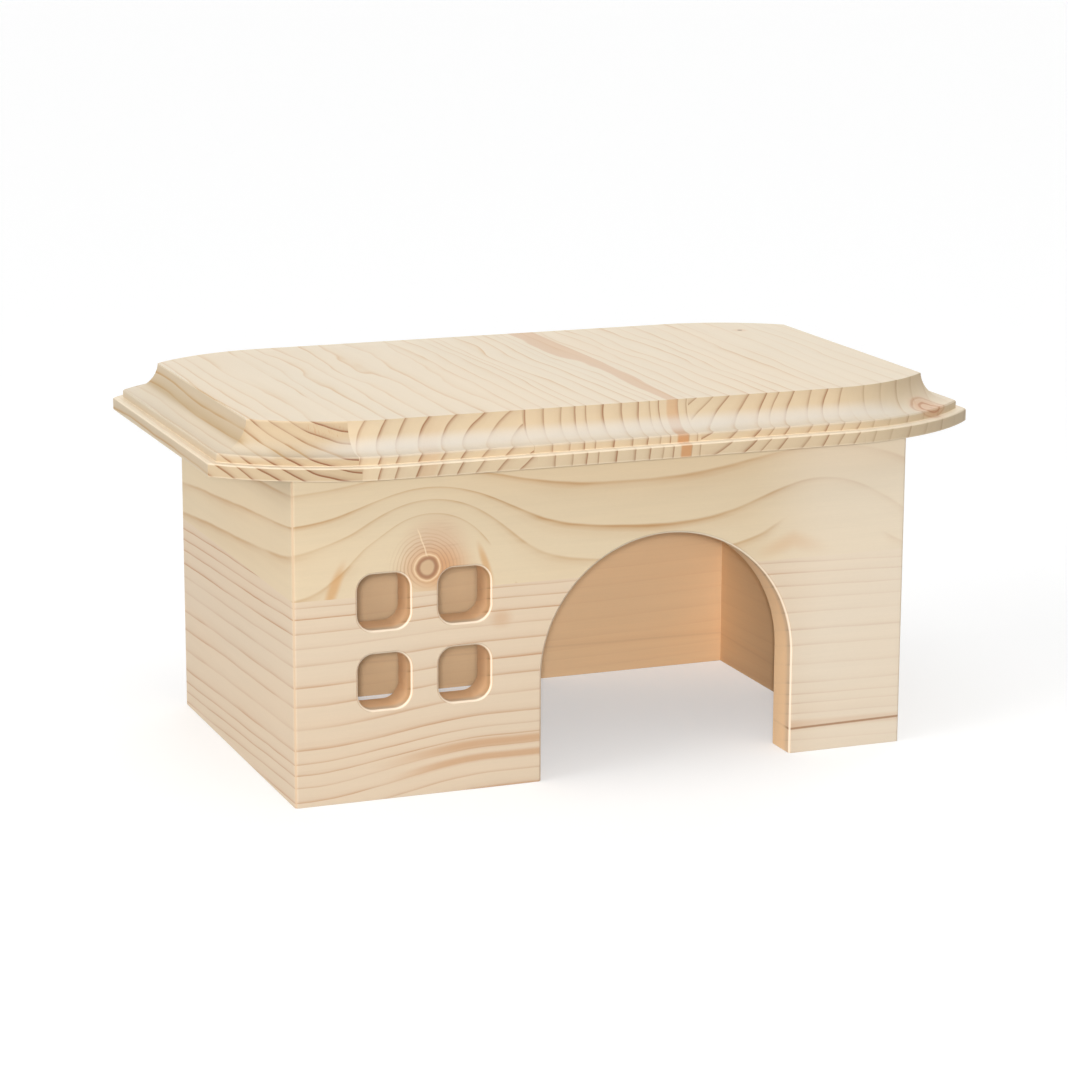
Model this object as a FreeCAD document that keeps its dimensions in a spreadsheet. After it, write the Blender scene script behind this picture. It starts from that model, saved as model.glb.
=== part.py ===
import FreeCAD, Part
import math
import os
import re

import Sketcher

# A bottomless wooden house for a hamster, with a lift-off moulded roof.
# It stands on its wall bottoms at Z = 0, centred on X and Y, with its front towards -Y.
# Driving dimensions, in millimetres
DIMENSIONS = {
    "body_length": 240.0,
    "body_depth": 146.0,
    "wall_height": 121.5,
    "wall_thickness": 15.0,
    "lower_board_height": 75.4,
    "corner_round": 1.2,
    "door_width": 100.0,
    "door_height": 89.0,
    "door_offset": 23.8,
    "window_margin": 23.9,
    "window_sill": 33.4,
    "pane_width": 19.8,
    "pane_height": 20.5,
    "pane_corner": 6.0,
    "upright_bar": 10.6,
    "level_bar": 8.7,
    "rim_bevel": 0.8,
    "overhang_side": 28.0,
    "overhang_front": 20.5,
    "roof_thickness": 18.0,
    "corner_run": 62.5,
    "corner_setback": 27.0,
    "stave_width": 64.2,
    "stave_offset": -3.9,
    "fascia_height": 4.6,
    "step_width": 3.6,
    "bead_height": 3.1,
    "cove_lip": 1.5,
    "cove_width": 11.0,
    "arris_bevel": 0.5,
    "cleat_width": 12.0,
    "cleat_height": 10.0,
    "cleat_clearance": 1.5,
    "cleat_lead": 2.0,
    "screw_length": 20.0,
    "screw_radius": 1.6,
    "screw_head_radius": 3.4,
    "screw_point": 3.0,
    "screw_clearance": 0.05,
}
SCREWS_IN_A_ROW = 3
TINY = 0.01

os.makedirs("parts", exist_ok=True)
document = FreeCAD.newDocument("hamster_house")
sheet = document.addObject("Spreadsheet::Sheet", "Dimensions")
for row, (name, size) in enumerate(DIMENSIONS.items(), start=1):
    sheet.set(f"A{row}", name)
    sheet.set(f"B{row}", str(size))
    sheet.setAlias(f"B{row}", name)
document.recompute()


def formula(text):
    """Names the sheet before each dimension in a formula."""
    names = "|".join(DIMENSIONS)
    return re.sub(rf"\b({names})\b", r"Dimensions.\1", str(text))


def bind(feature, **sizes):
    """Ties properties of a feature to formulas of the sheet."""
    for name, text in sizes.items():
        feature.setExpression(name.replace("__", "."), formula(text))


def value(text):
    """Works out a formula of the sheet."""
    return float(sheet.evalExpression(formula(text)))


def new_body(label):
    body = document.addObject("PartDesign::Body", label)
    body.Label = label
    return body


def new_sketch(body, name, plane, lift=0):
    """Puts a sketch on one of the body's origin planes, raised along the plane's normal."""
    sketch = body.newObject("Sketcher::SketchObject", name)
    support = [item for item in body.Origin.OriginFeatures if item.Role == plane]
    sketch.AttachmentSupport = [(support[0], "")]
    sketch.MapMode = "FlatFace"
    bind(sketch, AttachmentOffset__Base__z=lift)
    return sketch


def constrain(sketch, kind, place, text):
    """Adds a constraint whose size is a formula of the sheet."""
    index = sketch.addConstraint(Sketcher.Constraint(kind, *place, value(text)))
    sketch.setExpression(f"Constraints[{index}]", formula(text))


def arc_edge(start, end, radius):
    """An arc of less than a half turn, to the left of its start for a positive radius."""
    chord = end - start
    middle = (start + end) * 0.5
    height = math.sqrt(max(radius ** 2 - (chord.Length / 2) ** 2, 0))
    side = FreeCAD.Vector(-chord.y, chord.x, 0).normalize() * height
    centre = middle + side if radius > 0 else middle - side
    circle = Part.Circle(centre, FreeCAD.Vector(0, 0, 1), abs(radius))
    if radius > 0:
        return Part.ArcOfCircle(circle, circle.parameter(start), circle.parameter(end))
    return Part.ArcOfCircle(circle, circle.parameter(end), circle.parameter(start))


def draw(sketch, corners):
    """Draws a closed outline through corners given as formulas.

    Each corner is (x, y), or (x, y, radius) when an arc leads to it from the corner before:
    a positive radius turns left and a negative one turns right.
    """
    points = [FreeCAD.Vector(value(corner[0]), value(corner[1]), 0) for corner in corners]
    ends = []
    for index, corner in enumerate(corners):
        start = points[index - 1]
        if len(corner) == 2:
            edge = sketch.addGeometry(Part.LineSegment(start, points[index]), False)
            ends.append((edge, 1, 2))
            continue
        radius = value(corner[2])
        edge = sketch.addGeometry(arc_edge(start, points[index], radius), False)
        ends.append((edge, 1, 2) if radius > 0 else (edge, 2, 1))
        sketch.addConstraint(Sketcher.Constraint("Radius", edge, abs(radius)))
        sketch.setExpression(f"Constraints[{sketch.ConstraintCount - 1}]",
                             f"abs({formula(corner[2])})")
    for index, corner in enumerate(corners):
        edge, first, last = ends[index]
        following, next_first, next_last = ends[(index + 1) % len(ends)]
        sketch.addConstraint(Sketcher.Constraint("Coincident", edge, last, following, next_first))
        constrain(sketch, "DistanceX", (-1, 1, edge, last), corner[0])
        constrain(sketch, "DistanceY", (-1, 1, edge, last), corner[1])


def pad(body, name, sketch, height):
    feature = body.newObject("PartDesign::Pad", name)
    feature.Profile = sketch
    bind(feature, Length=height)
    return feature


def pocket(body, name, sketch, depth):
    """Cuts a sketch into the body, and makes sure that it takes wood away."""
    document.recompute()
    before = body.Shape.Volume
    feature = body.newObject("PartDesign::Pocket", name)
    feature.Profile = sketch
    bind(feature, Length=depth)
    document.recompute()
    if body.Shape.Volume >= before:
        raise ValueError(f"{name} cuts nothing")
    return feature


def bevel(body, name, size, chosen):
    """Bevels the edges of the body that a test picks."""
    document.recompute()
    base = body.Tip
    picked = [f"Edge{number}" for number, edge in enumerate(base.Shape.Edges, start=1)
              if chosen(edge.BoundBox)]
    feature = body.newObject("PartDesign::Chamfer", name)
    feature.Base = (base, picked)
    bind(feature, Size=size)
    return feature


def axis(body, role):
    """One of the body's own axes, as a direction for a pattern."""
    found = [item for item in body.Origin.OriginFeatures if item.Role == role]
    return (found[0], [""])


def piece_of(panel, name, x, y, z):
    """Takes one board out of a glued panel, between pairs of limits given as formulas."""
    slab = document.addObject("Part::Box", f"{name}_slab")
    length, width, height = [f"({end}) - ({start})" for start, end in (x, y, z)]
    bind(slab, Length=length, Width=width, Height=height,
         Placement__Base__x=x[0], Placement__Base__y=y[0], Placement__Base__z=z[0])
    piece = document.addObject("Part::Common", name)
    piece.Base = panel
    piece.Tool = slab
    piece.Label = name
    return piece


# Walls
# Each wall is boards glued edge to edge, with mitred ends where the walls meet.
# In a wall's own axes X runs along it, Y goes inwards from its outer face and Z is up.


def mitred_outline(length):
    """A wall seen from above, with its outer corners eased in an eighth of a turn."""
    half = f"({length} / 2)"
    tip = "corner_round * (1 - sqrt(0.5))"
    return [
        (f"{half} - corner_round", 0),
        (f"{half} - {tip}", tip, "corner_round"),
        (f"{half} - wall_thickness", "wall_thickness"),
        (f"wall_thickness - {half}", "wall_thickness"),
        (f"{tip} - {half}", tip),
        (f"corner_round - {half}", 0, "corner_round"),
    ]


def mitred_wall(name, length, bottom, height, turn=0, x=0, y=0):
    """Stands a wall or one of its boards in its place, turned about the vertical."""
    body = new_body(name)
    plan = new_sketch(body, f"{name}_plan", "XY_Plane", bottom)
    draw(plan, mitred_outline(length))
    pad(body, f"{name}_pad", plan, height)
    body.Placement.Rotation = FreeCAD.Rotation(FreeCAD.Vector(0, 0, 1), turn)
    bind(body, Placement__Base__x=x, Placement__Base__y=y)
    return body


WINDOW_LEFT = "(window_margin - body_length / 2)"
DOOR_LEFT = "(door_offset - door_width / 2)"


def door_outline():
    """A doorway with upright sides and a half-round top, seen from the front."""
    right = f"({DOOR_LEFT} + door_width)"
    spring = "(door_height - door_width / 2)"
    return [
        (DOOR_LEFT, 0),
        (right, 0),
        (right, spring),
        ("door_offset", "door_height", "door_width / 2"),
        (DOOR_LEFT, spring, "door_width / 2"),
    ]


def pane_outline():
    """The lower left window pane, with round corners, seen from the front."""
    left, right = WINDOW_LEFT, f"({WINDOW_LEFT} + pane_width)"
    bottom, top = "window_sill", "(window_sill + pane_height)"
    return [
        (f"{left} + pane_corner", bottom, "pane_corner"),
        (f"{right} - pane_corner", bottom),
        (right, f"{bottom} + pane_corner", "pane_corner"),
        (right, f"{top} - pane_corner"),
        (f"{right} - pane_corner", top, "pane_corner"),
        (f"{left} + pane_corner", top),
        (left, f"{top} - pane_corner", "pane_corner"),
        (left, f"{bottom} + pane_corner"),
    ]


def is_rim(box):
    """Tells the rims of the doorway and the panes from a front wall's other edges."""
    on_face = box.YMax < TINY or box.YMin > value("wall_thickness") - TINY
    level = box.ZMax < TINY or box.ZMin > value("wall_height") - TINY
    inside = max(-box.XMin, box.XMax) < value("body_length / 2 - wall_thickness") - TINY
    return on_face and not level and inside


front_wall = mitred_wall("front_wall", "body_length", 0, "wall_height", y="-body_depth / 2")
doorway = new_sketch(front_wall, "doorway", "XZ_Plane")
draw(doorway, door_outline())
pocket(front_wall, "doorway_cut", doorway, "wall_thickness")
pane = new_sketch(front_wall, "pane", "XZ_Plane")
draw(pane, pane_outline())
pane_cut = pocket(front_wall, "pane_cut", pane, "wall_thickness")
panes = front_wall.newObject("PartDesign::LinearPattern", "panes")
panes.Originals = [pane_cut]
panes.Direction = axis(front_wall, "X_Axis")
panes.Direction2 = axis(front_wall, "Z_Axis")
panes.Occurrences = 2
panes.Occurrences2 = 2
bind(panes, Length="pane_width + upright_bar", Length2="pane_height + level_bar")
front_wall.Tip = panes
bevel(front_wall, "rims", "rim_bevel", is_rim)

# The doorway is taller than the glue line, so it parts the lower board in two
ACROSS = ("-body_depth", 0)
BELOW = ("-wall_height", "lower_board_height")
ABOVE = ("lower_board_height", "2 * wall_height")
walls = [
    piece_of(front_wall, "front_wall_lower_left_board",
             ("-body_length", "door_offset"), ACROSS, BELOW),
    piece_of(front_wall, "front_wall_lower_right_board",
             ("door_offset", "body_length"), ACROSS, BELOW),
    piece_of(front_wall, "front_wall_upper_board",
             ("-body_length", "body_length"), ACROSS, ABOVE),
]

COURSES = {
    "lower_board": (0, "lower_board_height"),
    "upper_board": ("lower_board_height", "wall_height - lower_board_height"),
}
for name, (bottom, height) in COURSES.items():
    walls += [
        mitred_wall(f"back_wall_{name}", "body_length", bottom, height, 180,
                    y="body_depth / 2"),
        mitred_wall(f"left_wall_{name}", "body_depth", bottom, height, -90,
                    x="-body_length / 2"),
        mitred_wall(f"right_wall_{name}", "body_depth", bottom, height, 90,
                    x="body_length / 2"),
    ]

# Roof
# The staves are glued into one panel, its front and back are curved back to a corner at each
# end and then its edge is moulded, so the moulding runs all round it and across every stave.
HALF_LENGTH = "(body_length / 2 + overhang_side)"
HALF_DEPTH = "(body_depth / 2 + overhang_front)"
STRAIGHT = f"({HALF_LENGTH} - corner_run)"
CURVE = "((corner_run ^ 2 + corner_setback ^ 2) / (2 * corner_setback))"
CURVE_TURN = "2 * atan(corner_setback / corner_run)"
SCREW_LINE = "(body_depth / 2 - wall_thickness - cleat_clearance - cleat_width / 2)"
FIRST_SCREW = "(stave_offset - stave_width)"


def roof_outline():
    """A rectangle whose front and back curve smoothly back to meet the sides in a corner."""
    corner = f"({HALF_DEPTH} - corner_setback)"
    return [
        (f"-{HALF_LENGTH}", f"-{corner}"),
        (f"-{STRAIGHT}", f"-{HALF_DEPTH}", CURVE),
        (STRAIGHT, f"-{HALF_DEPTH}"),
        (HALF_LENGTH, f"-{corner}", CURVE),
        (HALF_LENGTH, corner),
        (STRAIGHT, HALF_DEPTH, CURVE),
        (f"-{STRAIGHT}", HALF_DEPTH),
        (f"-{HALF_LENGTH}", corner, CURVE),
    ]


def cutter_profile(distance):
    """What the moulding cutter takes off: fascia, step, bead, lip, cove and top arris.

    The roof's edge is at the given distance to the left of the sketch's own upright axis.
    """
    outside = f"(-{distance} - step_width)"
    edge = f"-{distance}"
    bead = f"({edge} + step_width)"
    step = "fascia_height"
    lip = "(fascia_height + bead_height)"
    cove = f"({bead} + cove_lip)"
    rise = f"(roof_thickness - {lip})"
    radius = f"((cove_width ^ 2 + {rise} ^ 2) / (2 * {rise}))"
    crest = f"({cove} + cove_width)"
    above = "(roof_thickness + fascia_height)"
    return [
        (outside, f"{step} - arris_bevel"),
        (edge, f"{step} - arris_bevel"),
        (f"{edge} + arris_bevel", step),
        (bead, step),
        (bead, f"{lip} - arris_bevel"),
        (f"{bead} + arris_bevel", lip),
        (cove, lip),
        (crest, "roof_thickness", radius),
        (crest, above),
        (outside, above),
    ]


def screw_row(body, name, original):
    """Repeats a feature along X at every screw of a row, one in each middle stave."""
    row = body.newObject("PartDesign::LinearPattern", name)
    row.Originals = [original]
    row.Direction = axis(body, "X_Axis")
    row.Occurrences = SCREWS_IN_A_ROW
    bind(row, Length=f"{SCREWS_IN_A_ROW - 1} * stave_width")
    body.Tip = row


def straight_moulding(body, name, plane, distance, length):
    """Runs the cutter along one straight edge, half the length each way from its middle."""
    shape = new_sketch(body, f"{name}_cutter", plane)
    draw(shape, cutter_profile(distance))
    cut = body.newObject("PartDesign::Pocket", name)
    cut.Profile = shape
    cut.Midplane = True
    bind(cut, Length=length)
    return cut


def curved_moulding(body, name, side):
    """Turns the cutter round a front curve's centre, from the straight edge past the corner."""
    shape = new_sketch(body, f"{name}_cutter", "YZ_Plane", f"{side} * {STRAIGHT}")
    bind(shape, AttachmentOffset__Base__x=f"{CURVE} - {HALF_DEPTH}")
    draw(shape, cutter_profile(CURVE))
    cut = body.newObject("PartDesign::Groove", name)
    cut.Profile = shape
    cut.ReferenceAxis = (shape, ["V_Axis"])
    cut.Reversed = side < 0
    bind(cut, Angle=f"{CURVE_TURN} + 10 deg")
    return cut


panel = new_body("roof_panel")
blank = new_sketch(panel, "roof_blank", "XY_Plane")
draw(blank, roof_outline())
pad(panel, "roof_blank_pad", blank, "roof_thickness")
document.recompute()
blank_volume = panel.Shape.Volume
mouldings = [
    straight_moulding(panel, "side_moulding", "XZ_Plane", HALF_LENGTH, f"3 * {HALF_DEPTH}"),
    straight_moulding(panel, "front_moulding", "YZ_Plane", HALF_DEPTH, f"2 * {STRAIGHT}"),
    curved_moulding(panel, "right_moulding", 1),
    curved_moulding(panel, "left_moulding", -1),
]
edge_moulding = panel.newObject("PartDesign::PolarPattern", "edge_moulding")
edge_moulding.Originals = mouldings
edge_moulding.Axis = axis(panel, "Z_Axis")
edge_moulding.Angle = 360
edge_moulding.Occurrences = 2
panel.Tip = edge_moulding
document.recompute()
if panel.Shape.Volume >= blank_volume:
    raise ValueError("the moulding cutter takes nothing off")

for side, name in ((-1, "front"), (1, "back")):
    pilot = new_sketch(panel, f"{name}_pilot", "XY_Plane")
    circle = Part.Circle(FreeCAD.Vector(value(FIRST_SCREW), side * value(SCREW_LINE), 0),
                         FreeCAD.Vector(0, 0, 1), value("screw_radius + screw_clearance"))
    hole = pilot.addGeometry(circle, False)
    constrain(pilot, "DistanceX", (-1, 1, hole, 3), FIRST_SCREW)
    constrain(pilot, "DistanceY", (-1, 1, hole, 3), f"{side} * {SCREW_LINE}")
    constrain(pilot, "Radius", (hole,), "screw_radius + screw_clearance")
    cut = panel.newObject("PartDesign::Pocket", f"{name}_pilot_cut")
    cut.Profile = pilot
    cut.Reversed = True
    bind(cut, Length="screw_length - cleat_height + screw_clearance")
    screw_row(panel, f"{name}_pilot_row", cut)
bind(panel, Placement__Base__z="wall_height")


def stave_joint(halves):
    """Where two staves meet, in half staves from the middle of the centre stave."""
    return f"(stave_offset + ({halves}) * stave_width / 2)"


STAVES = {
    "roof_stave_left_end": (f"-{HALF_LENGTH}", stave_joint(-3)),
    "roof_stave_left": (stave_joint(-3), stave_joint(-1)),
    "roof_stave_centre": (stave_joint(-1), stave_joint(1)),
    "roof_stave_right": (stave_joint(1), stave_joint(3)),
    "roof_stave_right_end": (stave_joint(3), HALF_LENGTH),
}
DEEP = (f"-2 * {HALF_DEPTH}", f"2 * {HALF_DEPTH}")
HIGH = ("wall_height - roof_thickness", "wall_height + 2 * roof_thickness")
staves = [piece_of(panel, name, sides, DEEP, HIGH) for name, sides in STAVES.items()]

# Cleats and screws
# Two cleats under the roof drop inside the walls and keep it from sliding.
# Their own axes start at the underside of the first screw, with X along the cleat.


def hole_profile():
    """A countersunk clearance hole, as a half section beside its axis."""
    wide = "screw_head_radius + screw_clearance"
    narrow = "screw_radius + screw_clearance"
    return [
        (wide, 0),
        (narrow, "screw_head_radius - screw_radius"),
        (narrow, "cleat_height"),
        (0, "cleat_height"),
        (0, 0),
    ]


def screw_profile():
    """A countersunk wood screw with its point up, as a half section beside its axis."""
    return [
        ("screw_head_radius", 0),
        ("screw_radius", "screw_head_radius - screw_radius"),
        ("screw_radius", "screw_length - screw_point"),
        (0, "screw_length"),
        (0, 0),
    ]


def stand_at_screws(body, side):
    """Puts a body's own axes at the first screw of the front or the back row."""
    bind(body, Placement__Base__x=FIRST_SCREW, Placement__Base__y=f"{side} * {SCREW_LINE}",
         Placement__Base__z="wall_height - cleat_height")


def cleat(name, side):
    """A batten with countersunk holes and a lead-in along its lower edges."""
    body = new_body(name)
    half = "(body_length / 2 - wall_thickness - cleat_clearance)"
    plan = new_sketch(body, f"{name}_plan", "XY_Plane")
    left, right = f"-{half} - {FIRST_SCREW}", f"{half} - {FIRST_SCREW}"
    near, far = "-cleat_width / 2", "cleat_width / 2"
    draw(plan, [(left, near), (right, near), (right, far), (left, far)])
    pad(body, f"{name}_pad", plan, "cleat_height")
    bevel(body, f"{name}_lead", "cleat_lead", lambda box: box.ZMax < TINY)
    section = new_sketch(body, f"{name}_hole", "XZ_Plane")
    draw(section, hole_profile())
    groove = body.newObject("PartDesign::Groove", f"{name}_hole_cut")
    groove.Profile = section
    groove.ReferenceAxis = (section, ["V_Axis"])
    groove.Angle = 360
    screw_row(body, f"{name}_hole_row", groove)
    stand_at_screws(body, side)
    return body


def cleat_screws(name, side):
    """The row of screws that holds one cleat, as separate solids of one node."""
    body = new_body(name)
    section = new_sketch(body, f"{name}_section", "XZ_Plane")
    draw(section, screw_profile())
    screw = body.newObject("PartDesign::Revolution", f"{name}_screw")
    screw.Profile = section
    screw.ReferenceAxis = (section, ["V_Axis"])
    screw.Angle = 360
    screw_row(body, f"{name}_row", screw)
    stand_at_screws(body, side)
    return body


fittings = [
    cleat("front_cleat", -1),
    cleat("back_cleat", 1),
    cleat_screws("front_cleat_screws", -1),
    cleat_screws("back_cleat_screws", 1),
]

document.recompute()
for item in document.Objects:
    if "Invalid" in item.State or "Error" in item.State:
        raise ValueError(f"{item.Label} failed: {item.State}")

for part in walls + staves + fittings:
    expected = SCREWS_IN_A_ROW if part.Label.endswith("_screws") else 1
    if part.Shape.isNull() or not part.Shape.isValid() or len(part.Shape.Solids) != expected:
        raise ValueError(f"{part.Label} is not a sound solid")

for part in walls + staves + fittings:
    part.Shape.exportStep(f"parts/{part.Label}.step")
    print(part.Label, round(part.Shape.Volume), part.Shape.BoundBox)
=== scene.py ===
import math

import bpy
from mathutils import Matrix, Vector

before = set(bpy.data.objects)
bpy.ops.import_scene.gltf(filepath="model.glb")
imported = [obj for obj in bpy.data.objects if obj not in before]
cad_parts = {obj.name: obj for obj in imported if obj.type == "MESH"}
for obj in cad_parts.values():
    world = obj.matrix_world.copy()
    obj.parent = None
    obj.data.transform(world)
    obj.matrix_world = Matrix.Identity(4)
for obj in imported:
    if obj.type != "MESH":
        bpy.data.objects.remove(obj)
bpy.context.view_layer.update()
scene = bpy.context.scene
scene.view_settings.view_transform = "Standard"

# Lengths in the wood's own patterns are in millimetres, because object coordinates are scaled
PER_METRE = 1000.0
# The length and depth of the four walls together
BODY_LENGTH = 240.0
BODY_DEPTH = 146.0


def colour(red, green, blue):
    """A linear colour from its 0 to 255 screen values."""
    def linear(part):
        part /= 255
        return part / 12.92 if part <= 0.04045 else ((part + 0.055) / 1.055) ** 2.4
    return (linear(red), linear(green), linear(blue), 1.0)


# Camera
CAMERA_PLACE = Vector((-0.44538, -1.14044, 0.35664))
CAMERA_TURN = math.radians(-21.2919)
CAMERA_TILT = math.radians(12.9604)
CAMERA_ROLL = math.radians(0.1838)
CAMERA_LENS = 110.416


def make_camera():
    """Looks down on the front and the left side, from the photograph's place."""
    forward = Vector((-math.sin(CAMERA_TURN) * math.cos(CAMERA_TILT),
                      math.cos(CAMERA_TURN) * math.cos(CAMERA_TILT),
                      -math.sin(CAMERA_TILT)))
    level = forward.cross(Vector((0, 0, 1))).normalized()
    upright = level.cross(forward)
    right = level * math.cos(CAMERA_ROLL) + upright * math.sin(CAMERA_ROLL)
    up = upright * math.cos(CAMERA_ROLL) - level * math.sin(CAMERA_ROLL)
    camera = bpy.data.objects.new("camera", bpy.data.cameras.new("camera"))
    camera.data.sensor_width = 36.0
    camera.data.lens = CAMERA_LENS
    camera.data.clip_end = 100.0
    turn = Matrix((right, up, -forward)).transposed().to_4x4()
    camera.matrix_world = Matrix.Translation(CAMERA_PLACE) @ turn
    scene.collection.objects.link(camera)
    scene.camera = camera


class Graph:
    """Short ways to add shader nodes, whose inputs are numbers, colours or other sockets."""

    def __init__(self, tree):
        self.tree = tree
        tree.nodes.clear()

    def feed(self, socket, source):
        if isinstance(source, bpy.types.NodeSocket):
            self.tree.links.new(source, socket)
        else:
            socket.default_value = source

    def add(self, kind, inputs, **settings):
        node = self.tree.nodes.new(kind)
        for name, setting in settings.items():
            setattr(node, name, setting)
        for name, source in inputs.items():
            self.feed(node.inputs[name], source)
        return node

    def math(self, operation, *terms):
        node = self.tree.nodes.new("ShaderNodeMath")
        node.operation = operation
        for socket, term in zip(node.inputs, terms):
            self.feed(socket, term)
        return node.outputs[0]

    def total(self, *terms):
        result = terms[0]
        for term in terms[1:]:
            result = self.math("ADD", result, term)
        return result

    def product(self, *terms):
        result = terms[0]
        for term in terms[1:]:
            result = self.math("MULTIPLY", result, term)
        return result

    def vector(self, operation, first, second):
        node = self.tree.nodes.new("ShaderNodeVectorMath")
        node.operation = operation
        self.feed(node.inputs[0], first)
        self.feed(node.inputs[1], second)
        return node.outputs[0]

    def split(self, place):
        return self.add("ShaderNodeSeparateXYZ", {"Vector": place}).outputs

    def join(self, x, y, z):
        return self.add("ShaderNodeCombineXYZ", {"X": x, "Y": y, "Z": z}).outputs[0]

    def between(self, amount, low, high, start=0.0, end=1.0, smooth=True):
        """Goes from start to end while the amount goes from low to high."""
        node = self.add("ShaderNodeMapRange",
                        {"Value": amount, "From Min": low, "From Max": high,
                         "To Min": start, "To Max": end},
                        interpolation_type="SMOOTHSTEP" if smooth else "LINEAR")
        return node.outputs[0]

    def noise(self, place, sizes, detail=2.0, shift=0.0):
        """Soft noise from about -1 to 1, with spots of the given sizes along X, Y and Z."""
        scaled = self.vector("DIVIDE", place, sizes)
        moved = self.vector("ADD", scaled, (shift, shift * 0.7, shift * 1.3))
        spots = self.add("ShaderNodeTexNoise",
                         {"Vector": moved, "Scale": 1.0, "Detail": detail, "Roughness": 0.5})
        return self.math("MULTIPLY_ADD", spots.outputs[0], 4.0, -2.0)

    def curve(self, amount, points):
        """Follows straight runs between (amount, result) points, both from 0 to 1."""
        node = self.add("ShaderNodeFloatCurve", {"Value": amount})
        line = node.mapping.curves[0]
        while len(line.points) < len(points):
            line.points.new(0.5, 0.5)
        for point, (across, up) in zip(line.points, points):
            point.location = (across, up)
            point.handle_type = "VECTOR"
        node.mapping.update()
        return node.outputs[0]

    def blend(self, factor, first, second, kind="MIX"):
        node = self.tree.nodes.new("ShaderNodeMix")
        node.data_type = "RGBA"
        node.blend_type = kind
        self.feed(node.inputs["Factor"], factor)
        self.feed(node.inputs[6], first)
        self.feed(node.inputs[7], second)
        return node.outputs[2]


# Light
# A lamp's level is what it adds to a white surface that faces it, where 1 is white.
SKY_LEVEL = 0.25
LAMPS = {
    "key": {"turn": -20.5, "height": 13.0, "spread": 6, "level": 0.09},
    "top": {"turn": -10, "height": 72, "spread": 60, "level": 0.34},
    "left": {"turn": -80, "height": 16, "spread": 40, "level": 0.5},
    "back": {"turn": 150, "height": 25, "spread": 60, "level": 0.36},
}

# The flash has its level at this distance in metres, which is about that of the house's front
FLASH_PLACE = CAMERA_PLACE * 1.1
FLASH_DISTANCE = 1.25
FLASH_LEVEL = 0.58
FLASH_RADIUS = 0.02


def make_lamp(name, turn, height, spread, level):
    """A wide soft lamp, so far away that it lights the whole floor alike."""
    lamp = bpy.data.lights.new(name, "SUN")
    lamp.energy = level * math.pi
    lamp.angle = math.radians(spread)
    sun = bpy.data.objects.new(name, lamp)
    sun.rotation_euler = (math.radians(90 - height), 0, math.radians(turn))
    scene.collection.objects.link(sun)


def make_flash():
    """A lamp just behind the camera, which reaches as far into the openings as the camera sees."""
    lamp = bpy.data.lights.new("flash", "POINT")
    lamp.energy = FLASH_LEVEL * (2 * math.pi * FLASH_DISTANCE) ** 2
    lamp.shadow_soft_size = FLASH_RADIUS
    flash = bpy.data.objects.new("flash", lamp)
    flash.location = FLASH_PLACE
    scene.collection.objects.link(flash)


def make_light():
    """A pale studio: white to the eye and in reflections, with soft lamps round it."""
    world = bpy.data.worlds.new("studio")
    scene.world = world
    world.use_nodes = True
    graph = Graph(world.node_tree)
    rays = graph.add("ShaderNodeLightPath", {}).outputs
    seen = graph.math("MAXIMUM", rays["Is Camera Ray"], rays["Is Glossy Ray"])
    level = graph.between(seen, 0, 1, SKY_LEVEL, 1.0)
    sky = graph.add("ShaderNodeBackground", {"Color": (1, 1, 1, 1), "Strength": level})
    graph.add("ShaderNodeOutputWorld", {"Surface": sky.outputs[0]})
    for name, settings in LAMPS.items():
        make_lamp(name, **settings)
    make_flash()


# Floor
# It sits a tenth of a millimetre low, so that it doesn't share a plane with the wall bottoms.
FLOOR_SIZE = 60.0
FLOOR_DROP = 0.0001
FLOOR_SEEN = 0.64
FLOOR_GLOW = 0.42
FLOOR_BOUNCE = 0.4


def make_floor():
    """A plain pale floor, which throws less light on the house than its look would give."""
    bpy.ops.mesh.primitive_plane_add(size=FLOOR_SIZE, location=(0, 0, -FLOOR_DROP))
    floor = bpy.context.object
    floor.name = "floor"
    material = bpy.data.materials.new("floor")
    material.use_nodes = True
    graph = Graph(material.node_tree)
    rays = graph.add("ShaderNodeLightPath", {}).outputs
    seen = graph.math("MAXIMUM", rays["Is Camera Ray"], rays["Is Glossy Ray"])
    tone = graph.between(seen, 0, 1, FLOOR_BOUNCE, FLOOR_SEEN)
    shade = graph.add("ShaderNodeBsdfDiffuse", {"Color": graph.join(tone, tone, tone)})
    glow = graph.add("ShaderNodeEmission", {"Strength": graph.between(seen, 0, 1, 0, FLOOR_GLOW)})
    both = graph.add("ShaderNodeAddShader", {0: shade.outputs[0], 1: glow.outputs[0]})
    # Seen from below the floor is clear, so that the underside shows
    behind = graph.add("ShaderNodeNewGeometry", {}).outputs["Backfacing"]
    clear = graph.add("ShaderNodeBsdfTransparent", {})
    whole = graph.add("ShaderNodeMixShader",
                      {0: graph.product(behind, rays["Is Camera Ray"]),
                       1: both.outputs[0], 2: clear.outputs[0]})
    graph.add("ShaderNodeOutputMaterial", {"Surface": whole.outputs[0]})
    floor.data.materials.append(material)


# Wood
# A board's pattern comes from a field: a height or radius in millimetres that is the same all
# over one growth ring. Its rings end where the field passes the board's measured values.
RING_LINE = ((0.0, 0.3), (0.03, 0.0), (0.5, 0.02), (0.8, 0.16), (0.91, 0.55), (0.965, 1.0),
             (1.0, 0.5))
SPARE_RINGS = 3
COUNT_START = 10
COUNT_DOWN_FROM = 100


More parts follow.
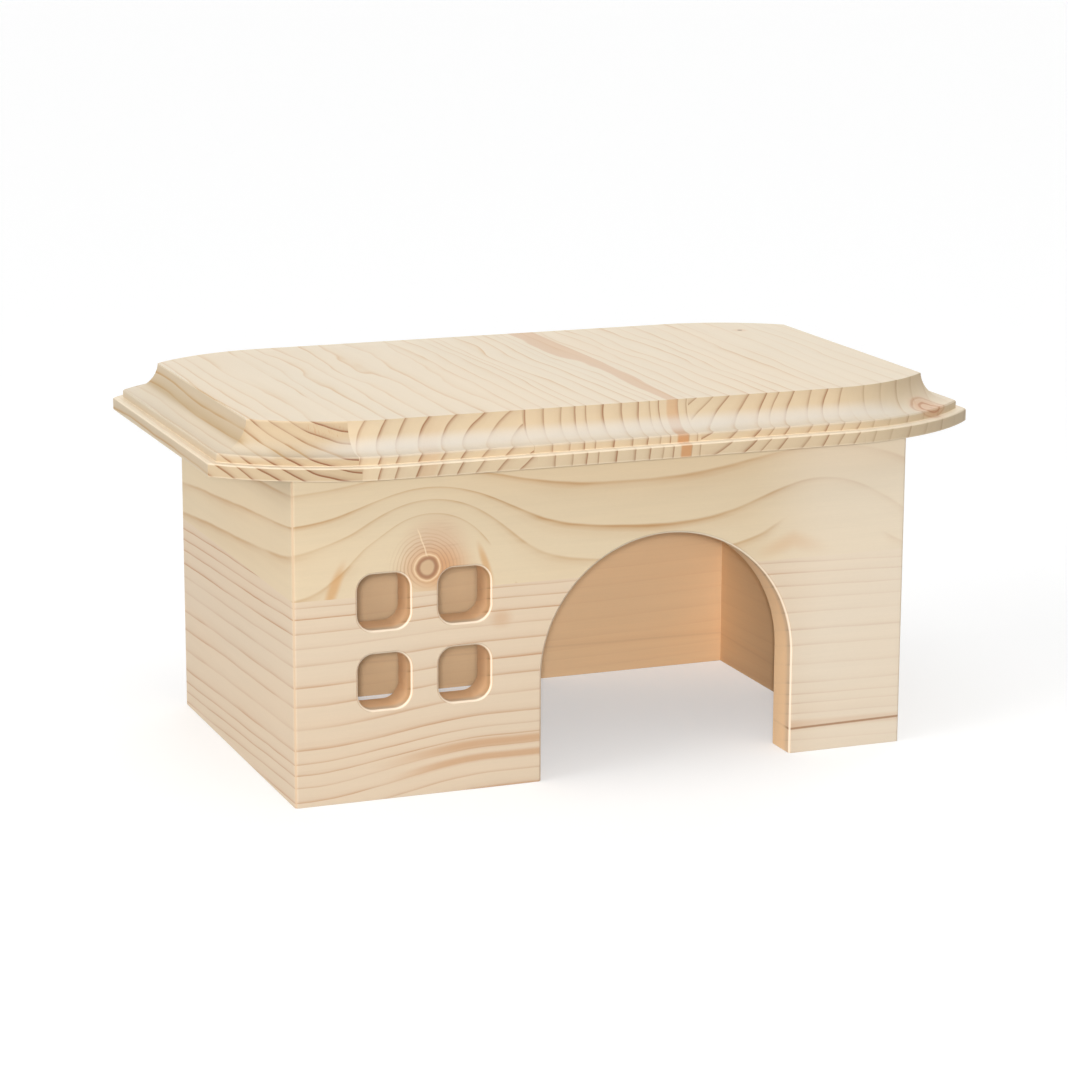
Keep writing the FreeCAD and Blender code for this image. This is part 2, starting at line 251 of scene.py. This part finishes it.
def rings(graph, field, ends, late_side, faintest=0.3):
    """How dark each point is, from the place of the ring ends along the field.

    A ring darkens slowly and ends sharply. The sharp side is up the field for a late side
    of 1 and down it for -1. The faintest ring has the given share of the darkest one's line.
    Past the measured ends a few spare rings follow, as wide as the outermost ones.
    """
    first_step, last_step = ends[1] - ends[0], ends[-1] - ends[-2]
    marks = [ends[0] - SPARE_RINGS * first_step, *ends, ends[-1] + SPARE_RINGS * last_step]
    numbers = [1 - SPARE_RINGS, *range(1, len(ends) + 1), len(ends) + SPARE_RINGS]
    low, high = marks[0], marks[-1]
    first, last = numbers[0], numbers[-1]
    points = [((mark - low) / (high - low), (number - first) / (last - first))
              for mark, number in zip(marks, numbers)]
    along = graph.between(field, low, high, smooth=False)
    count = graph.math("MULTIPLY_ADD", graph.curve(along, points), last - first,
                       first + COUNT_START)
    if late_side < 0:
        count = graph.math("MULTIPLY_ADD", count, -1, COUNT_DOWN_FROM)
    within = graph.math("FRACT", count)
    number = graph.math("FLOOR", count)
    line = graph.curve(within, RING_LINE)
    chance = graph.add("ShaderNodeTexWhiteNoise", {"W": number}, noise_dimensions="1D")
    strength = graph.between(chance.outputs[0], 0, 1, faintest, 1.0, smooth=False)
    return graph.product(line, strength)


def spot(graph, across, up, centre, sizes, edge=0.6):
    """A soft oval patch, 1 at its middle and 0 outside, with a given share of soft edge."""
    right = graph.math("DIVIDE", graph.math("SUBTRACT", across, centre[0]), sizes[0])
    high = graph.math("DIVIDE", graph.math("SUBTRACT", up, centre[1]), sizes[1])
    share = graph.math("SQRT", graph.total(graph.product(right, right),
                                           graph.product(high, high)))
    return graph.between(share, 1 - edge, 1, 1, 0)


def reach(graph, across, up, centre):
    """The distance from a centre in the plane of a board."""
    right = graph.math("SUBTRACT", across, centre[0])
    high = graph.math("SUBTRACT", up, centre[1])
    return graph.math("SQRT", graph.total(graph.product(right, right),
                                          graph.product(high, high)))


def distance_from(graph, amount, middle):
    """How far an amount is from a middle value, on either side of it."""
    return graph.math("ABSOLUTE", graph.math("SUBTRACT", amount, middle))


def band(graph, amount, low, high, soft):
    """1 between two limits and 0 outside them, with soft edges of the given width."""
    return graph.product(graph.between(amount, low - soft, low + soft),
                         graph.between(amount, high - soft, high + soft, 1, 0))


class Tones:
    """The colours of one kind of wood surface, and how strongly its rings show along it."""

    def __init__(self, face, line, end_face, end_line, warm, contrast):
        self.face = face
        self.line = line
        self.end_face = end_face
        self.end_line = end_line
        self.warm = warm
        self.contrast = contrast


LOWER_TONES = Tones(
    face=colour(219, 200, 175),
    line=colour(186, 140, 102),
    end_face=colour(214, 172, 128),
    end_line=colour(160, 112, 70),
    warm=colour(199, 158, 120),
    contrast=0.95,
)
UPPER_TONES = Tones(
    face=colour(220, 202, 171),
    line=colour(186, 144, 96),
    end_face=colour(212, 172, 126),
    end_line=colour(160, 112, 70),
    warm=colour(206, 162, 112),
    contrast=0.85,
)
ROOF_TONES = Tones(
    face=colour(220, 206, 183),
    line=colour(198, 164, 118),
    end_face=colour(205, 185, 154),
    end_line=colour(136, 86, 50),
    warm=colour(192, 144, 100),
    contrast=0.95,
)


def finish_wood(graph, tones, grain, place, darkness, stain, paint=None):
    """Colours the wood and gives it its fibres, its dull shine and its fine relief.

    The place has the grain along X, in millimetres. The grain is the direction of the fibres
    in the object, and surfaces square to it show darker end grain.
    """
    normal = graph.add("ShaderNodeTexCoord", {}).outputs["Normal"]
    facing = graph.add("ShaderNodeVectorMath", {0: normal, 1: grain},
                       operation="DOT_PRODUCT").outputs["Value"]
    end_grain = graph.between(graph.math("ABSOLUTE", facing), 0.25, 0.95)
    fibres = graph.noise(place, (26.0, 0.45, 0.45), 3.0)
    coarse = graph.noise(place, (60.0, 3.0, 3.0), 2.0, 7.0)
    broad = graph.noise(place, (110.0, 32.0, 32.0), 1.0, 3.0)
    pores = graph.noise(place, (1.2, 0.35, 0.35), 2.0, 5.0)
    wander = graph.noise(place, (55.0, 7.0, 7.0), 2.0, 11.0)

    face = graph.blend(end_grain, tones.face, tones.end_face)
    line = graph.blend(end_grain, tones.line, tones.end_line)
    along_contrast = graph.between(wander, -0.9, 0.9, 0.45 * tones.contrast,
                                   1.25 * tones.contrast)
    contrast = graph.total(graph.product(along_contrast, graph.between(end_grain, 0, 1, 1, 0)),
                           graph.product(end_grain, 0.95))
    wood = graph.blend(graph.product(darkness, contrast), face, line)
    wood = graph.blend(stain, wood, tones.warm)
    if paint is not None:
        wood = paint(wood)
    shade = graph.total(1.0, graph.product(fibres, 0.012), graph.product(coarse, 0.014),
                        graph.product(broad, 0.014), graph.product(pores, 0.008))
    wood = graph.blend(1.0, wood, graph.join(shade, shade, shade), "MULTIPLY")
    warmth = graph.between(broad, -1.2, 1.2, 0, 0.3)
    wood = graph.blend(warmth, wood, graph.blend(1.0, wood, colour(255, 244, 232), "MULTIPLY"))

    relief = graph.total(graph.product(fibres, 0.010), graph.product(pores, 0.006),
                         graph.product(darkness, 0.02))
    bump = graph.add("ShaderNodeBump", {"Height": relief, "Distance": 0.001, "Strength": 0.6})
    roughness = graph.total(0.62, graph.product(fibres, 0.03), graph.product(darkness, -0.06))
    shader = graph.add("ShaderNodeBsdfPrincipled",
                       {"Base Color": wood, "Roughness": roughness,
                        "Normal": bump.outputs[0], "Specular IOR Level": 0.3})
    graph.add("ShaderNodeOutputMaterial", {"Surface": shader.outputs[0]})


def new_material(name):
    """An empty material with the graph that its nodes go into."""
    material = bpy.data.materials.new(name)
    material.use_nodes = True
    return material, Graph(material.node_tree)


# Walls
# The grain of one long strip of boards runs round the house through the mitred corners.
# Along the strip X is 0 at the middle of the front, Y goes inwards and Z is up.
# The turn in degrees and the shift bring a wall's place in the object to its place in the strip.
FRONT_TO_LEFT = -(BODY_LENGTH + BODY_DEPTH) / 2
WALLS = {
    "front": {"turn": 0, "shift": (0, BODY_DEPTH / 2, 0), "grain": (1, 0, 0)},
    "left": {"turn": 90, "shift": (FRONT_TO_LEFT, BODY_LENGTH / 2, 0), "grain": (0, 1, 0)},
    "right": {"turn": -90, "shift": (-FRONT_TO_LEFT, BODY_LENGTH / 2, 0), "grain": (0, 1, 0)},
    "back": {"turn": 180, "shift": (-2 * FRONT_TO_LEFT, BODY_DEPTH / 2, 0), "grain": (1, 0, 0)},
}
LEFT_CORNER = -BODY_LENGTH / 2
LOWER_RINGS = (1.8, 7.1, 11.5, 15.6, 20.6, 28.6, 36.8, 43.8, 51.6, 57.9, 63.2, 68.6, 72.9)
UPPER_RINGS = (58.0, 74.0, 90.5, 101.2, 113.0, 124.0, 134.0)
UPPER_FAINTEST = 0.75
KNOT = (-70.0, 84.0)
ARCHES = (
    {"centre": (-68.5, 84.0), "lift": 204.0, "fade": 10.6, "narrow": 1.0},
    {"centre": (86.0, 77.0), "lift": 34.0, "fade": 30.0, "narrow": 1.3},
)
INSIDE_OF_KNOT = 64.0
HIGHEST_PUSH = 60.0
DOOR_SIDE = 60.0
# Middles of the patches and streaks: along the strip and up
LOWER_PATCH = (-42, 63)
LEFT_STREAK = (-135.0, 79.0)
RIGHT_STREAK = (-18.6, 84.0)
RIGHT_PATCH = (74, 82.5)
CLEAR_OF_RINGS = (88, 76)
LEG_CENTRE = (-66, 78)
SAPWOOD_ALONG = 112


def strip_place(graph, wall):
    """Each point of a wall in the strip of boards that runs round the house."""
    place = graph.add("ShaderNodeTexCoord", {}).outputs["Object"]
    mapping = graph.add("ShaderNodeMapping",
                        {"Vector": place, "Location": WALLS[wall]["shift"],
                         "Rotation": (0, 0, math.radians(WALLS[wall]["turn"])),
                         "Scale": (PER_METRE,) * 3})
    return mapping.outputs[0]


def lower_field(graph, place):
    """Growth lines of the lower boards: they climb towards the doorway, most of all low down."""
    along, inwards, up = graph.split(place)
    left_of_corner = graph.math("MINIMUM", graph.math("SUBTRACT", along, LEFT_CORNER), 0.0)
    climb = graph.product(graph.between(along, -115, -45),
                          graph.between(up, 12, 72, 8.8, 1.2, smooth=False))
    past_door = graph.math("MAXIMUM", graph.math("SUBTRACT", along, DOOR_SIDE), 0.0)
    return graph.total(up, graph.product(left_of_corner, -0.042),
                       graph.product(climb, -1), graph.product(past_door, 0.03),
                       graph.product(inwards, 0.3),
                       graph.product(graph.noise(place, (95.0, 30.0, 24.0), 1.0), 0.55),
                       graph.product(graph.noise(place, (20.0, 8.0, 6.0), 2.0), 0.16))


def knot_push(graph, along, up, centre, lift, fade, narrow):
    """How far the growth lines arch up over a knot, at each point round it."""
    across = graph.product(graph.math("SUBTRACT", along, centre[0]), narrow)
    distance = reach(graph, across, up, (0.0, centre[1]))
    share = graph.math("EXPONENT", graph.math("DIVIDE", distance, -fade))
    return graph.math("MINIMUM", graph.product(share, lift), HIGHEST_PUSH)


def upper_field(graph, place):
    """Growth lines of the upper boards, which arch over two knots."""
    along, inwards, up = graph.split(place)
    from_corner = distance_from(graph, along, LEFT_CORNER)
    sink = graph.product(graph.math("MINIMUM", from_corner, 250.0), 0.1,
                         graph.between(up, 86, 116, 0.85, 0.2, smooth=False))
    wider = graph.product(graph.between(along, -110, -75, 4.5, 0), graph.between(up, 92, 100, 1, 0))
    shifted = graph.total(along, wider)
    pushes = [graph.product(knot_push(graph, shifted, up, **arch), -1) for arch in ARCHES]
    field = graph.total(up, sink, *pushes,
                        graph.product(inwards, 0.45),
                        graph.product(graph.noise(place, (80.0, 30.0, 20.0), 1.0, 4.0), 0.5),
                        graph.product(graph.noise(place, (18.0, 8.0, 5.0), 2.0, 2.0), 0.16))
    return graph.math("MAXIMUM", field, INSIDE_OF_KNOT)


def paint_knot(graph, place, centre):
    """A sound knot: a pale heart, a dark ring, fine reddish rings round it and a drying crack."""
    parts = graph.split(place)
    along, up = parts["X"], parts["Z"]
    wander = graph.noise(place, (4.0, 4.0, 4.0), 2.0, 9.0)
    slow = graph.noise(place, (14.0, 14.0, 14.0), 1.0, 5.0)
    distance = graph.total(reach(graph, along, up, centre), graph.product(wander, 0.22))
    glow = spot(graph, along, up, (centre[0] + 3.5, centre[1] + 7), (16.0, 16.0), 0.8)
    heart_glow = spot(graph, along, up, (centre[0] + 3.5, centre[1] - 1), (18.0, 12.0), 0.85)
    below = graph.between(up, centre[1] - 9, centre[1] - 2)
    crack_along = graph.math("MULTIPLY_ADD", up, 0.36, graph.total(along, graph.product(wander, 0.3)))
    crack = graph.product(band(graph, crack_along, -38.45, -37.95, 0.16),
                          band(graph, up, centre[1] + 4.5, centre[1] + 14, 1.0))

    def paint(wood):
        wood = graph.blend(graph.product(glow, 0.5), wood, colour(205, 166, 136))
        wood = graph.blend(graph.product(heart_glow, 0.8), wood, colour(206, 154, 108))
        fine = graph.math("SINE", graph.math("MULTIPLY_ADD", distance, 4.6,
                                             graph.product(slow, 1.6)))
        fine = graph.product(graph.between(fine, 0.1, 1.0), graph.between(distance, 4.6, 5.4),
                             graph.between(distance, 7, 16.5, 0.5, 0), below)
        wood = graph.blend(fine, wood, colour(182, 136, 106))
        streaks = graph.between(graph.noise(place, (9.0, 9.0, 0.5), 1.0, 8.0), 0.2, 1.2, 0, 0.3)
        wood = graph.blend(graph.product(streaks, glow), wood, colour(180, 138, 116))
        wood = graph.blend(graph.between(distance, 2.6, 3.6, 0.85, 0), wood, colour(204, 176, 142))
        wood = graph.blend(graph.product(band(graph, distance, 2.7, 4.1, 0.5), 0.85), wood,
                           colour(158, 116, 88))
        wood = graph.blend(graph.product(band(graph, distance, 4.5, 5.1, 0.25), 0.8), wood,
                           colour(232, 206, 170))
        return graph.blend(graph.product(crack, 0.8), wood, colour(234, 214, 182))
    return paint


def paint_bounce_light(graph, inwards, wood):
    """Painted warm bounce light: the inner side, and the wood deep in the openings, turn a warmer
    brown.
    """
    depth = graph.between(inwards, 0.8, 6.0, 0, 1)
    warm = graph.blend(1.0, wood, colour(255, 238, 212), "MULTIPLY")
    warm = graph.blend(0.8, warm, colour(255, 217, 173))
    return graph.blend(depth, wood, warm)


def lower_pattern(graph, place):
    """The rings, the warm streaks and the thin dark line of a lower board."""
    parts = graph.split(place)
    along, up = parts["X"], parts["Z"]
    field = lower_field(graph, place)
    darkness = rings(graph, field, LOWER_RINGS, -1)
    streak = graph.product(band(graph, field, 7.3, 10.8, 1.3), graph.between(along, -95, -55),
                           graph.between(along, 40, 60, 0.8, 0.15))
    low_streak = graph.product(band(graph, field, 1.6, 4.4, 1.0),
                               graph.between(along, -90, -60), 0.75)
    pier_height = graph.math("MULTIPLY_ADD", along, -0.012, up)
    past_door = graph.between(along, 60, 72)
    pier_line = graph.product(band(graph, pier_height, 7.6, 10.4, 0.9), past_door, 0.5)
    dark_line = graph.product(band(graph, pier_height, 8.2, 9.0, 0.25), past_door, 0.85)
    patch = graph.product(spot(graph, along, up, LOWER_PATCH, (6, 5), 0.9), 0.5)
    stain = graph.math("MINIMUM", graph.total(streak, low_streak, pier_line, patch), 1.0)
    return darkness, stain, dark_line


def upper_pattern(graph, place):
    """The rings and the warm streaks of an upper board, which has no dark line.

    Two places have no rings: low down right of the first knot, and inside the second one.
    """
    parts = graph.split(place)
    along, up = parts["X"], parts["Z"]
    field = upper_field(graph, place)
    right_leg = graph.product(graph.between(along, -55, -50), graph.between(up, 89, 93, 1, 0),
                              graph.between(reach(graph, along, up, LEG_CENTRE), 29, 30.5, 1, 0))
    darkness = graph.product(rings(graph, field, UPPER_RINGS, 1, UPPER_FAINTEST),
                             graph.between(reach(graph, along, up, CLEAR_OF_RINGS), 22, 27),
                             graph.between(right_leg, 0, 1, 1, 0))
    left_streak = spot(graph, graph.math("MULTIPLY_ADD", up, -0.38, along), up,
                       LEFT_STREAK, (3.2, 12.0), 0.8)
    right_streak = spot(graph, graph.math("MULTIPLY_ADD", up, 0.35, along), up,
                        RIGHT_STREAK, (2.2, 10.0), 0.8)
    sagging = graph.math("MULTIPLY_ADD", distance_from(graph, along, RIGHT_PATCH[0]), 0.3, up)
    right_patch = spot(graph, along, sagging, RIGHT_PATCH, (19.0, 5.0), 0.9)
    stain = graph.math("MINIMUM", graph.total(
        graph.product(left_streak, 0.8), graph.product(right_streak, 0.75),
        graph.product(right_patch, 0.6)), 1.0)
    return darkness, stain, 0.0


PATTERNS = {
    "lower": (LOWER_TONES, lower_pattern),
    "upper": (UPPER_TONES, upper_pattern),
}


def wall_material(wall, course):
    """Bare wood for the boards of one course of a wall, with the knot in the front's upper one."""
    material, graph = new_material(f"{wall}_wall_{course}")
    place = strip_place(graph, wall)
    along, inwards = graph.split(place)[:2]
    tones, pattern = PATTERNS[course]
    darkness, stain, dark_line = pattern(graph, place)
    knot = paint_knot(graph, place, KNOT) if (wall, course) == ("front", "upper") else None

    def paint(wood):
        if knot is not None:
            wood = knot(wood)
        sapwood = graph.between(distance_from(graph, along, SAPWOOD_ALONG), 20, 60, 0.6, 0)
        wood = graph.blend(sapwood, wood, colour(233, 221, 202))
        wood = graph.blend(dark_line, wood, colour(160, 118, 84))
        # A pale band on the rim chamfers of the openings: partly the paleness of cut fibres, partly a
        # painted highlight
        pale_fibres_and_highlight = graph.product(band(graph, inwards, 0.2, 0.7, 0.18), 0.8)
        wood = graph.blend(pale_fibres_and_highlight, wood, colour(250, 236, 214))
        corner = graph.between(distance_from(graph, along, LEFT_CORNER), 0.45, 0.9, 0.55, 0)
        wood = graph.blend(corner, wood, colour(178, 142, 104))
        # Painted warm bounce light, deepening into the openings and over the inner side
        return paint_bounce_light(graph, inwards, wood)

    finish_wood(graph, tones, WALLS[wall]["grain"], place, darkness, stain, paint)
    return material


# Roof staves
# The grain runs from front to back, and each stave is a slice of a log with its heart at a
# place of its own. The ends of the rings are radii from that heart.
ROOF_HEARTS = {
    "left_end": (-97.0, 172.0),
    "left": (-20.0, 98.0),
    "right": (10.0, 168.0),
    "right_end": (-20.0, 160.0),
}


def evenly(start, step, count):
    """A count of ring ends with the same step between them."""
    return tuple(start + step * index for index in range(count))


ROOF_RINGS = {
    "left_end": evenly(32.0, 3.9, 17),
    "left": (33.4, 39.5, 45.7, 52.1, 58.6, 65.5, 72.6, 78.8, 85.1),
    "centre": (-35.5, -29.2, -22.4, -16.8, -12.6, -5.8, 0.9, 7.1, 11.9, 15.8, 23.4, 26.9),
    "right": (31.5, 36.3, 40.5, 45.2, 51.3, 57.8, 62.0, 67.0, 74.0, 80.2, 85.8, 91.0, 95.5),
    "right_end": evenly(98.0, 8.0, 9),
}
FAINTEST = {"left_end": 0.75, "left": 0.7, "centre": 0.55, "right": 0.6, "right_end": 0.15}
CENTRE_LEAN = 0.1
CENTRE_LEVEL = 124.0
# Heights on the roof: its lowest edge, the step, the cove and the top of the moulding
LOWEST_EDGE = (121.6, 122.1)
STEP = (125.75, 126.3)
COVE = (129.4, 133.6)
MOULDING_TOP = (138.6, 139.4)
PIN_KNOT = (109.0, 53.0)
EDGE_KNOT = (-76.0, 128.0, 130.0)
EDGE_KNOT_SIZES = (9.0, 8.5, 4.2)
TORN_PLACE = (-108.0, 136.2)


def stave_field(graph, stave, place):
    """Growth rings of a stave: round its heart, or nearly upright planes in the centre one.

    Away from the front edge they wander more and more, as they do along a plank.
    """
    back, across, up = graph.split(place)
    if stave == "centre":
        lean = graph.product(graph.math("SUBTRACT", up, CENTRE_LEVEL), -CENTRE_LEAN)
        field = graph.total(across, lean)
    else:
        field = reach(graph, across, up, ROOF_HEARTS[stave])
    seed = len(stave)
    calm = 0.3 if stave == "left_end" else 1.0
    away = graph.between(back, -80, 20, 0.25, calm)
    slow = graph.noise(place, (120.0, 24.0, 40.0), 1.0, seed)
    middle = graph.noise(place, (46.0, 15.0, 24.0), 2.0, seed + 5)
    quick = graph.noise(place, (30.0, 8.0, 8.0), 2.0, 1.0)
    return graph.total(field, graph.product(slow, away, 4.0), graph.product(middle, away, 1.8),
                       graph.product(quick, 0.15))


def small_knot(graph, place, centre, wood):
    """A pin knot: a dark brown dot in a faint orange ring."""
    back, across = graph.split(place)[:2]
    distance = reach(graph, across, back, centre)
    wood = graph.blend(graph.between(distance, 1.2, 4.0, 0.3, 0), wood, colour(206, 158, 106))
    return graph.blend(graph.between(distance, 0.7, 1.3, 0.85, 0), wood, colour(120, 86, 56))


def edge_knot(graph, place, wood):
    """A knot cut by the moulding on the right of the front, with fine rings of its own."""
    from_centre = graph.vector("SUBTRACT", place, EDGE_KNOT)
    squeezed = graph.vector("DIVIDE", from_centre, EDGE_KNOT_SIZES)
    length = graph.add("ShaderNodeVectorMath", {0: squeezed}, operation="LENGTH")
    distance = length.outputs["Value"]
    wander = graph.noise(place, (5.0, 5.0, 5.0), 1.0, 6.0)
    fine = graph.math("SINE", graph.math("MULTIPLY_ADD", distance, 15.0, wander))
    fine = graph.product(graph.between(fine, 0, 1), graph.between(distance, 0.75, 1.15, 0.6, 0))
    wood = graph.blend(graph.between(distance, 0.5, 1.3, 0.45, 0), wood, colour(206, 150, 108))
    return graph.blend(fine, wood, colour(176, 118, 84))


def object_place(graph):
    """Each point's place in the object, in millimetres."""
    place = graph.add("ShaderNodeTexCoord", {}).outputs["Object"]
    return graph.vector("MULTIPLY", place, (PER_METRE,) * 3)


def stave_darkness(graph, stave, field, x, y):
    """The rings of a stave. The left end's are strong on its edges, the right end's all faint."""
    darkness = rings(graph, field, ROOF_RINGS[stave], 1, FAINTEST[stave])
    if stave == "left_end":
        edge = graph.math("MAXIMUM", graph.between(y, -74, -70, 1, 0),
                          graph.between(x, -131, -127, 1, 0))
        stronger = graph.product(darkness, graph.between(edge, 0, 1, 0.8, 1.9))
        return graph.math("MINIMUM", 1.0, stronger)
    if stave == "right_end":
        return graph.product(darkness, 0.5)
    return darkness


def stave_stain(graph, stave, field, y):
    """The warm streak of the centre stave and the left one. The others have none."""
    if stave == "centre":
        right_edge = graph.between(y, -78, 75, 23.3, 29.0, smooth=False)
        past_edge = graph.math("SUBTRACT", field, right_edge)
        streak = graph.product(graph.between(field, 18.2, 19.2),
                               graph.between(past_edge, -0.6, 0.2, 1, 0))
        return graph.product(streak, graph.between(y, -88, -78, 0.95, 0.5))
    if stave == "left":
        return graph.product(band(graph, field, 59.5, 64.5, 1.0),
                             graph.between(y, -84, -74, 0.22, 0.0))
    return 0.0


def paint_left_end(graph, place, wood):
    """The left end's pale flank, olive edge that is partly wood colour and partly painted shade,
    darker top of the moulding and torn fibres.
    """
    y, x, z = graph.split(place)
    pale = graph.product(graph.between(x, -129, -126, 1, 0), band(graph, z, 128.5, 131.5, 1.5), 0.5)
    wood = graph.blend(pale, wood, colour(234, 226, 210))
    # An olive band on the upper side cove: partly the wood's colour, partly painted shade
    olive_tone_and_shade = graph.product(graph.between(x, -136, -131, 1, 0), band(graph, z, 131.6, 139.2, 1.0), 0.8)
    wood = graph.blend(olive_tone_and_shade, wood, graph.blend(0.7, wood, colour(178, 148, 98)))
    moulding = graph.between(z, *MOULDING_TOP, 1, 0)
    darker = graph.blend(1.0, wood, colour(234, 230, 224), "MULTIPLY")
    wood = graph.blend(moulding, wood, darker)
    torn = graph.between(graph.noise(place, (3.0, 0.35, 2.2), 1.0, 3.0), 0.3, 0.9, 0, 0.55)
    where = spot(graph, x, z, TORN_PLACE, (9.0, 3.6), 0.5)
    torn = graph.product(torn, where, graph.between(y, -70, -66, 1, 0))
    return graph.blend(torn, wood, colour(172, 124, 86))


def stave_material(stave):
    """Bare wood for one stave of the roof, with its grain from front to back."""
    material, graph = new_material(f"roof_{stave}")
    x, y, z = graph.split(object_place(graph))
    place = graph.join(y, x, z)
    field = stave_field(graph, stave, place)
    darkness = stave_darkness(graph, stave, field, x, y)
    stain = stave_stain(graph, stave, field, y)

    def paint(wood):
        # Painted shade in the cove: a greyer, darker band on its front and back faces, fading out
        # towards the left end
        cove_shade = graph.product(band(graph, z, *COVE, 1.6),
                               graph.between(graph.math("ABSOLUTE", y), 74, 84, 0, 0.8))
        if stave == "left_end":
            cove_shade = graph.product(cove_shade, graph.between(x, -125, -105, 0.0, 1.0))
            wood = paint_left_end(graph, place, wood)
        wood = graph.blend(cove_shade, wood, graph.blend(0.85, wood, colour(213, 208, 200)))
        # Painted highlights: a pale line along the step and along the lowest edge
        edge_highlights = graph.math("MAXIMUM", graph.between(z, *LOWEST_EDGE, 0.5, 0),
                           band(graph, z, *STEP, 0.15))
        wood = graph.blend(graph.product(edge_highlights, 0.6), wood, colour(242, 228, 204))
        if stave == "right_end":
            wood = small_knot(graph, place, PIN_KNOT, wood)
            wood = edge_knot(graph, place, wood)
        return wood

    finish_wood(graph, ROOF_TONES, (0, 1, 0), place, darkness, stain, paint)
    return material


def cleat_material():
    """Bare sawn wood with slanting rings, for both cleats."""
    material, graph = new_material("cleat")
    place = object_place(graph)
    parts = graph.split(place)
    field = graph.total(parts["Y"], graph.product(parts["Z"], 0.6),
                        graph.product(graph.noise(place, (70.0, 20.0, 20.0), 1.0), 0.8))
    darkness = rings(graph, graph.math("WRAP", field, 0, 40), evenly(2.0, 4.0, 10), 1)
    finish_wood(graph, LOWER_TONES, (1, 0, 0), place, darkness, 0.0)
    return material


def screw_material():
    """Zinc-plated steel with fine scratches."""
    material, graph = new_material("screw_steel")
    place = graph.add("ShaderNodeTexCoord", {}).outputs["Object"]
    scratches = graph.add("ShaderNodeTexNoise", {"Vector": place, "Scale": 2500.0, "Detail": 3.0})
    roughness = graph.between(scratches.outputs[0], 0.3, 0.7, 0.25, 0.42)
    tone = graph.blend(graph.between(scratches.outputs[0], 0.35, 0.65),
                       colour(214, 208, 190), colour(190, 184, 168))
    shader = graph.add("ShaderNodeBsdfPrincipled",
                       {"Base Color": tone, "Roughness": roughness, "Metallic": 1.0})
    graph.add("ShaderNodeOutputMaterial", {"Surface": shader.outputs[0]})
    return material


def dress(node, material):
    """Gives a node of the frame its own material in place of the plain one."""
    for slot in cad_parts[node].material_slots:
        slot.material = material


make_camera()
make_light()
make_floor()

for wall in WALLS:
    for course in ("lower", "upper"):
        material = wall_material(wall, course)
        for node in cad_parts:
            if node.startswith(f"{wall}_wall_{course}"):
                dress(node, material)
for stave in ROOF_RINGS:
    dress(f"roof_stave_{stave}", stave_material(stave))
cleat_wood = cleat_material()
steel = screw_material()
for side in ("front", "back"):
    dress(f"{side}_cleat", cleat_wood)
    dress(f"{side}_cleat_screws", steel)
